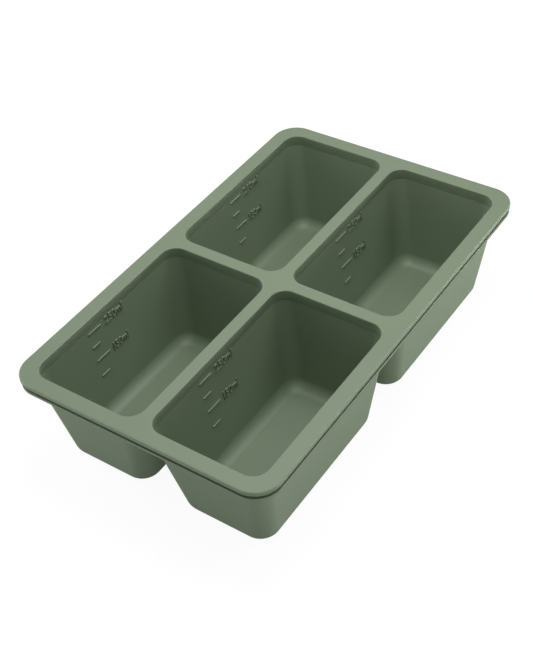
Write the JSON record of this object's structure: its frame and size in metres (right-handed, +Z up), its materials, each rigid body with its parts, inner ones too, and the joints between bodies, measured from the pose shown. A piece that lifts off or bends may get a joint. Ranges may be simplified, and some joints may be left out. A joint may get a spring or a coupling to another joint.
{
  "type": "baby food freezer tray",
  "caption": "Silicone freezer tray with deep drafted food cups, millilitre marks inside each cup and a wire-stiffened flat rim.",
  "frame": {"origin": "middle of the tray on the surface that it stands on", "axes": "+X along the long side, +Y across, towards the cup walls that carry the marks, +Z up"},
  "size_m": [0.2382, 0.1456, 0.0575],
  "materials": {
    "silicone": "matte sage green silicone",
    "steel_wire": "flat rolled stainless steel wire"
  },
  "bodies": {
    "root": {"cup_tray": "silicone", "rim_frame": "silicone", "rim_wire": "steel_wire"}
  },
  "joints": []
}
